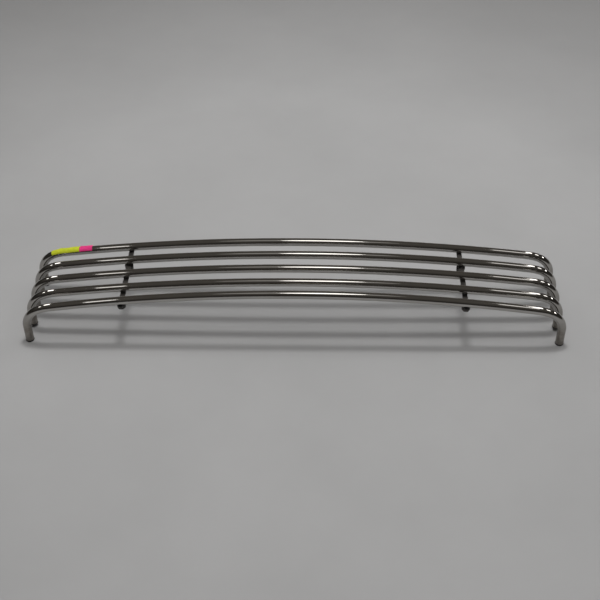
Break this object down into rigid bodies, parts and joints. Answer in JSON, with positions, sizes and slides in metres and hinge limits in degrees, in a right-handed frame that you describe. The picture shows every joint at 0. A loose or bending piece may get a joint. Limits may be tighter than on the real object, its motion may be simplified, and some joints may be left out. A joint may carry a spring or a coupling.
{
  "type": "front grille",
  "caption": "Tubular front grille: bowed round bars with ends bent back into legs, joined behind by two flat straps with mounting studs.",
  "frame": {"origin": "centre of the bounding box's bottom face: the plane that the feet of the top and bottom bars rest on", "axes": "+X along the bars, from the left leg to the right one seen from the front; +Y from the lowest bar to the top bar; +Z forward, out of the grille's face"},
  "size_m": [1.2378, 0.2191, 0.1455],
  "materials": {
    "chrome": "bright polished plating",
    "plug_plastic": "matte moulded",
    "strap_paint": "satin black paint",
    "dark_steel": "black oxide",
    "tape_green": "fluorescent vinyl tape",
    "tape_pink": "fluorescent vinyl tape"
  },
  "bodies": {
    "root": {"bar_1": "chrome", "bar_2": "chrome", "bar_3": "chrome", "bar_4": "chrome", "bar_5": "chrome", "plug_1_left": "plug_plastic", "plug_1_right": "plug_plastic", "plug_2_left": "plug_plastic", "plug_2_right": "plug_plastic", "plug_3_left": "plug_plastic", "plug_3_right": "plug_plastic", "plug_4_left": "plug_plastic", "plug_4_right": "plug_plastic", "plug_5_left": "plug_plastic", "plug_5_right": "plug_plastic", "strap_left": "strap_paint", "strap_right": "strap_paint", "stud_left_upper": "dark_steel", "stud_left_lower": "dark_steel", "stud_right_upper": "dark_steel", "stud_right_lower": "dark_steel", "washer_left_upper": "dark_steel", "washer_left_lower": "dark_steel", "washer_right_upper": "dark_steel", "washer_right_lower": "dark_steel", "nut_left_upper": "dark_steel", "nut_left_lower": "dark_steel", "nut_right_upper": "dark_steel", "nut_right_lower": "dark_steel", "tape_green": "tape_green", "tape_pink": "tape_pink"}
  },
  "joints": []
}
